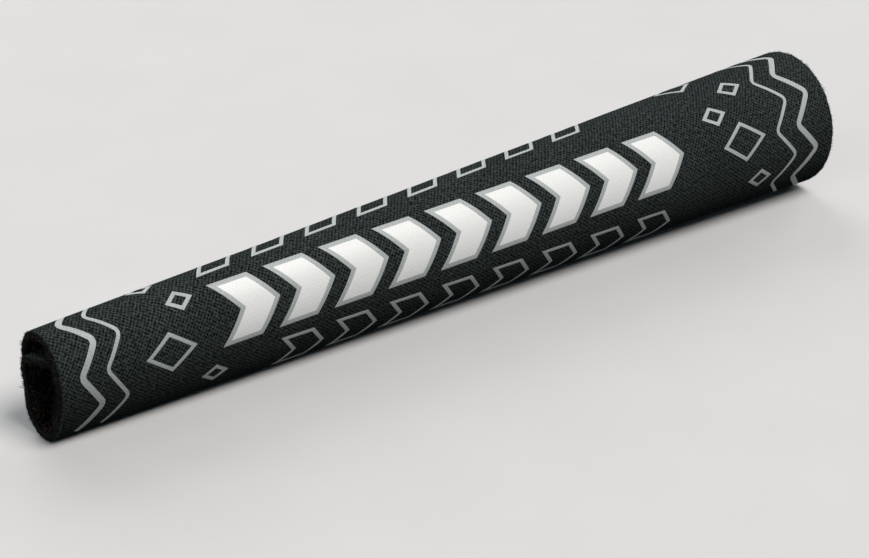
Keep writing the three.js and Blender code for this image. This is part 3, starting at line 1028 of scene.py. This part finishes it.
def foam_edge(finish):
    """Thin polyurethane foam core where a knife has cut it: dark, open-celled and dry."""
    made, tree, shader = new_finish("cut_foam_core", IOR=1.5, Specular_IOR_Level=0.0, Roughness=0.95)
    place = add_node(tree, "TexCoord").outputs["Object"]
    cells = add_node(tree, "TexVoronoi", {"Vector": place, "Scale": 2600.0})
    # Painted shade: the colour follows the cells' relief, darker in each cell's hollow and lighter on
    # its walls.
    set_colour(tree, shader, tuple(finish.foam), moved(tree, cells, (0, 0.7), FOAM_CELL_SHADE))
    set_relief(tree, shader, cells, strength=1, depth=0.2 * MM)
    return made


def looped_lining(finish):
    """Polyester lining, knitted with loops and dyed: a dull brown-black pile, with painted shade in its
    hollows and painted light on its loops.
    """
    made, tree, shader = new_finish("looped_polyester_lining", IOR=1.57, Specular_IOR_Level=0.0,
                                    Roughness=0.95, Sheen_Weight=0.08)
    cloth = add_node(tree, "UVMap", uv_map="Cloth")
    loops = add_node(tree, "TexVoronoi", {"Vector": cloth, "Scale": 1 / LOOP_PITCH, "Randomness": 0.9})
    height = combine(tree, "SUBTRACT", noise(tree, cloth, scale=2.5, detail=5), loops)
    # Painted shade and light: the colour follows the pile's relief, darker in the hollows and lighter on
    # the loops.
    set_colour(tree, shader, tuple(finish.lining), moved(tree, height, (-0.4, 0.6), LINING_LIGHT_AND_SHADE))
    set_relief(tree, shader, height, strength=1, depth=0.5 * MM)
    return made


def fibre_finish(name, base, roughness, sheen):
    """Loose fibres of one dye, each a little lighter or darker than the next."""
    made, tree, shader = new_finish(name, IOR=1.53, Specular_IOR_Level=0.0, Roughness=roughness,
                                    Sheen_Weight=sheen)
    place = add_node(tree, "TexCoord").outputs["Object"]
    tone = noise(tree, place, scale=1400, detail=2)
    set_colour(tree, shader, tuple(base), moved(tree, tone, (0.35, 0.7), FIBRE_SHADES))
    return made


def print_film(name, base, shaded_pore_share, relief, roughness):
    """Heat-set print film that has taken the weave's relief: even colour with painted shade over the
    pores, a faint grain, a low gloss.

    The pore share is how light the film stays over a pore, where shade is painted into its dip, and
    relief how deep it dips there.
    """
    made, tree, shader = new_finish(name, IOR=1.5)
    cloth, height = plain_weave(tree)
    # Painted shade: the film is darker where it dips over the weave's pores.
    set_colour(tree, shader, tuple(base), moved(tree, height, (0, 0.6), (shaded_pore_share, 1)))
    gloss = noise(tree, cloth, scale=1.2, detail=3)
    rough = moved(tree, gloss, NOISE_RANGE, (roughness - GLOSS_SPREAD, roughness + GLOSS_SPREAD))
    tree.links.new(rough.outputs[0], shader.inputs["Roughness"])
    set_relief(tree, shader, height, strength=0.6, depth=relief)
    return made


def seen_directly(tree):
    """1 where the camera, a gloss or clear matter sees the surface, 0 where it only passes light on."""
    ray = add_node(tree, "LightPath").outputs
    seen = combine(tree, "MAXIMUM", ray["Is Camera Ray"], ray["Is Glossy Ray"])
    return combine(tree, "MAXIMUM", seen, ray["Is Transmission Ray"])


def floor_paint(finish):
    """Pale matt paint on a studio floor: even, with a barely visible roller grain.

    It passes on little light, so that the underside of the object stays as dark as on a dark table.
    """
    made, tree, shader = new_finish("matt_floor_paint", IOR=1.45, Roughness=0.7)
    place = add_node(tree, "TexCoord").outputs["Object"]
    grain = moved(tree, noise(tree, place, scale=30, detail=3), NOISE_RANGE, FLOOR_SHADES)
    held_back = moved(tree, seen_directly(tree), (0, 1), (FLOOR_BOUNCE, 1))
    set_colour(tree, shader, tuple(finish.floor), combine(tree, "MULTIPLY", grain, held_back))
    return made


# The stage

FLOOR_RADIUS = 4.0
FLOOR_CORNERS = 96
# The camera was fitted to the photo's outlines. Its angles are in degrees.
CAMERA_TARGET = Vector((117.88, -2.43, 8.18)) * MM + ROLL_ORIGIN
CAMERA_DISTANCE = 685.9 * MM
CAMERA_AZIMUTH = -37.78
CAMERA_ELEVATION = 27.65
CAMERA_ROLL = 0.454
CAMERA_LENS = 106.3
CAMERA_CLIP = 10 * MM
SENSOR_WIDTH = 36
WORLD_LIGHT = 0.075
# The share of its light that the floor passes on to the object
FLOOR_BOUNCE = 0.04


def add_floor(finish):
    """A round floor under the object."""
    angles = np.linspace(0, FULL_TURN, FLOOR_CORNERS, endpoint=False)
    points = np.stack([np.cos(angles), np.sin(angles), np.zeros(FLOOR_CORNERS)], -1) * FLOOR_RADIUS
    floor = new_object("floor", points, [list(range(FLOOR_CORNERS))], materials=[floor_paint(finish)])


def add_softbox(name, location, spread, power, light=(1, 1, 1)):
    """A large, distant softbox that faces the object. It lights object and floor evenly."""
    lamp = bpy.data.lights.new(name, "SUN")
    lamp.angle = spread * DEGREE
    lamp.energy = power
    lamp.color = light
    made = bpy.data.objects.new(name, lamp)
    made.location = location
    made.rotation_euler = (-Vector(location)).to_track_quat("-Z", "Y").to_euler()
    bpy.context.scene.collection.objects.link(made)


def add_world(finish):
    """Even light from all sides. The camera and the gloss see the pale backdrop in its place."""
    world = bpy.data.worlds.new("studio")
    world.use_nodes = True
    tree = world.node_tree
    tree.nodes.clear()
    lit = add_node(tree, "Background", {"Color": opaque(finish.fill), "Strength": WORLD_LIGHT})
    backdrop = add_node(tree, "Background", {"Color": opaque(finish.backdrop), "Strength": 1.0})
    both = add_node(tree, "MixShader", {0: seen_directly(tree), 1: lit, 2: backdrop})
    add_node(tree, "OutputWorld", {"Surface": both})
    bpy.context.scene.world = world


def add_camera():
    """The camera, at the photograph's viewing angle."""
    data = bpy.data.cameras.new("camera")
    data.sensor_width = SENSOR_WIDTH
    data.lens = CAMERA_LENS
    data.clip_start = CAMERA_CLIP
    camera = bpy.data.objects.new("camera", data)
    turn = (Matrix.Rotation(CAMERA_AZIMUTH * DEGREE, 4, "Z")
            @ Matrix.Rotation((90 - CAMERA_ELEVATION) * DEGREE, 4, "X"))
    back = turn @ Vector((0, 0, CAMERA_DISTANCE))
    camera.matrix_world = (Matrix.Translation(CAMERA_TARGET + back) @ turn
                           @ Matrix.Rotation(CAMERA_ROLL * DEGREE, 4, "Z"))
    bpy.context.scene.collection.objects.link(camera)
    bpy.context.scene.camera = camera


# Operators


def place_piece(piece, slot, *nodes):
    """Let a piece ride with the object and stand for its frame nodes."""
    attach(piece, "root")
    if nodes:
        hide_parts(*nodes)
    return piece


def film_piece(name, films, material, slot, prefix):
    """Several films as one piece, which stands for every frame node whose name starts in one way."""
    vertices, faces, _ = join_parts([film[:2] for film in films])
    uvs = np.concatenate([film[2] for film in films])
    nodes = [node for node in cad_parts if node.startswith(prefix)]
    piece = new_object(name, vertices, faces, uvs, materials=[material], sharp_angle=FILM_RIM_ANGLE)
    return place_piece(piece, slot, *nodes)


class Step:
    """A step that builds something from the scene's finish and its rolled sheet."""

    def execute(self, context):
        self.build(context.scene, context.scene.protector_finish, Roll(context.scene.protector_sheet))
        return {"FINISHED"}


class PROTECTOR_OT_stage(Step, bpy.types.Operator):
    """Make the floor, the lamps, the world and the camera"""

    bl_idname = "protector.stage"
    bl_label = "Stage"

    def build(self, scene, finish, roll):
        add_floor(finish)
        add_world(finish)
        add_softbox("overhead_softbox", (0.2, -0.62, 1.1), spread=32, power=2.68, light=finish.key)
        add_softbox("rear_softbox", (0.3, 1.1, 0.7), spread=40, power=0.9)
        add_softbox("narrow_end_softbox", (-1.0, -0.3, 0.7), spread=30, power=0.3)
        add_softbox("wide_end_softbox", (1.1, 0.35, 0.5), spread=30, power=0.6)
        add_camera()
        scene.view_settings.view_transform = "Standard"


class PROTECTOR_OT_yarn_ends(Step, bpy.types.Operator):
    """Make the cut yarns round both mouths and along the free edge"""

    bl_idname = "protector.yarn_ends"
    bl_label = "Yarn Ends"

    def build(self, scene, finish, roll):
        rng = np.random.default_rng(FRAY_SEED)
        parts = [*mouth_yarn_ends(roll, rng, 0), *mouth_yarn_ends(roll, rng, 1),
                 *edge_yarn_ends(roll, rng)]
        vertices, faces, numbers = join_parts(parts)
        # Each edge has three kinds of fibre, the last of them lint, which takes the second material.
        slots = [1 if number % 3 == 2 else 0 for number in numbers]
        yarn = fibre_finish("cut_nylon_yarn", finish.yarn, roughness=0.6, sheen=0.1)
        lint = fibre_finish("cut_lining_fibre", finish.foam, roughness=0.9, sheen=0.08)
        piece = new_object("yarn_ends", vertices, faces, face_slots=slots, materials=[yarn, lint])
        place_piece(piece, "woven_face")


class PROTECTOR_OT_lining_loops(Step, bpy.types.Operator):
    """Make the loops of the lining's pile inside both mouths"""

    bl_idname = "protector.lining_loops"
    bl_label = "Lining Loops"

    def build(self, scene, finish, roll):
        rng = np.random.default_rng(LOOP_SEED)
        pile = fibre_finish("polyester_pile", finish.pile, roughness=0.9, sheen=0.08)
        parts = [lining_loops(roll, rng, 0, NARROW_LOOPS), lining_loops(roll, rng, 1, WIDE_LOOPS)]
        vertices, faces, _ = join_parts(parts)
        place_piece(new_object("lining_loops", vertices, faces, materials=[pile]), "woven_face")


class PROTECTOR_OT_hook_tape(Step, bpy.types.Operator):
    """Make the hook tape under the overlap"""

    bl_idname = "protector.hook_tape"
    bl_label = "Hook Tape"

    def build(self, scene, finish, roll):
        nylon = fibre_finish("moulded_nylon_hooks", finish.hook, roughness=0.45, sheen=0)
        vertices, faces, _ = join_parts(hook_tape_parts(roll, np.random.default_rng(HOOK_SEED)))
        piece = new_object("hook_tape", vertices, faces, materials=[nylon])
        place_piece(piece, "hook_tape", "hook_strip")


class PROTECTOR_OT_print(Step, bpy.types.Operator):
    """Make the printed pattern"""

    bl_idname = "protector.print"
    bl_label = "Print"

    def build(self, scene, finish, roll):
        pattern = Print(roll, scene.protector_print)
        white = print_film("white_print_film", finish.white, shaded_pore_share=0.93, relief=0.03 * MM,
                           roughness=0.42)
        grey = print_film("grey_print_film", finish.grey, shaded_pore_share=0.82, relief=0.05 * MM,
                          roughness=0.5)
        film_piece("white_chevrons", pattern.white_chevrons(), white, "print_white", "print_chevron_")
        narrow = pattern.end_motifs(NARROW_ZIGZAG, NARROW_DIAMONDS)
        wide = pattern.end_motifs(WIDE_ZIGZAG, WIDE_DIAMONDS)
        for name, films, prefix in (
                ("chevron_borders", pattern.borders(), "print_border_"),
                ("upper_chevrons", pattern.faint_row(UPPER_ROW), "print_upper_"),
                ("lower_chevrons", pattern.faint_row(LOWER_ROW), "print_lower_"),
                ("narrow_end_motifs", narrow, "print_narrow_"),
                ("wide_end_motifs", wide, "print_wide_")):
            film_piece(name, films, grey, "print_grey", prefix)


class PROTECTOR_OT_sheet(Step, bpy.types.Operator):
    """Make the laminated sheet in place of the frame's wrap"""

    bl_idname = "protector.sheet"
    bl_label = "Rolled Sheet"

    def build(self, scene, finish, roll):
        materials = [woven_nylon(finish), foam_edge(finish), looped_lining(finish)]
        piece = place_piece(build_sheet(roll, materials), "woven_face", "wrap")


class PROTECTOR_PT_panel(bpy.types.Panel):
    """Lists the steps that build the protector"""

    bl_label = "Frame Protector"
    bl_idname = "PROTECTOR_PT_panel"
    bl_space_type = "VIEW_3D"
    bl_region_type = "UI"
    bl_category = "Protector"

    def draw(self, context):
        for step in STEPS:
            self.layout.operator(step.bl_idname)


STEPS = (PROTECTOR_OT_stage, PROTECTOR_OT_yarn_ends, PROTECTOR_OT_lining_loops, PROTECTOR_OT_hook_tape,
         PROTECTOR_OT_print, PROTECTOR_OT_sheet)
GROUPS = {"protector_sheet": ProtectorSheet, "protector_print": ProtectorPrint,
          "protector_finish": ProtectorFinish}


def register():
    for group in (*GROUPS.values(), *STEPS, PROTECTOR_PT_panel):
        bpy.utils.register_class(group)
    for name, group in GROUPS.items():
        setattr(bpy.types.Scene, name, PointerProperty(type=group))


def unregister():
    for name in GROUPS:
        delattr(bpy.types.Scene, name)
    for group in reversed((*GROUPS.values(), *STEPS, PROTECTOR_PT_panel)):
        bpy.utils.unregister_class(group)


def main():
    register()
    bpy.ops.protector.stage()
    bpy.ops.protector.yarn_ends()
    bpy.ops.protector.lining_loops()
    bpy.ops.protector.hook_tape()
    bpy.ops.protector.print()
    bpy.ops.protector.sheet()
    bpy.context.view_layer.update()


if __name__ == "__main__":
    main()
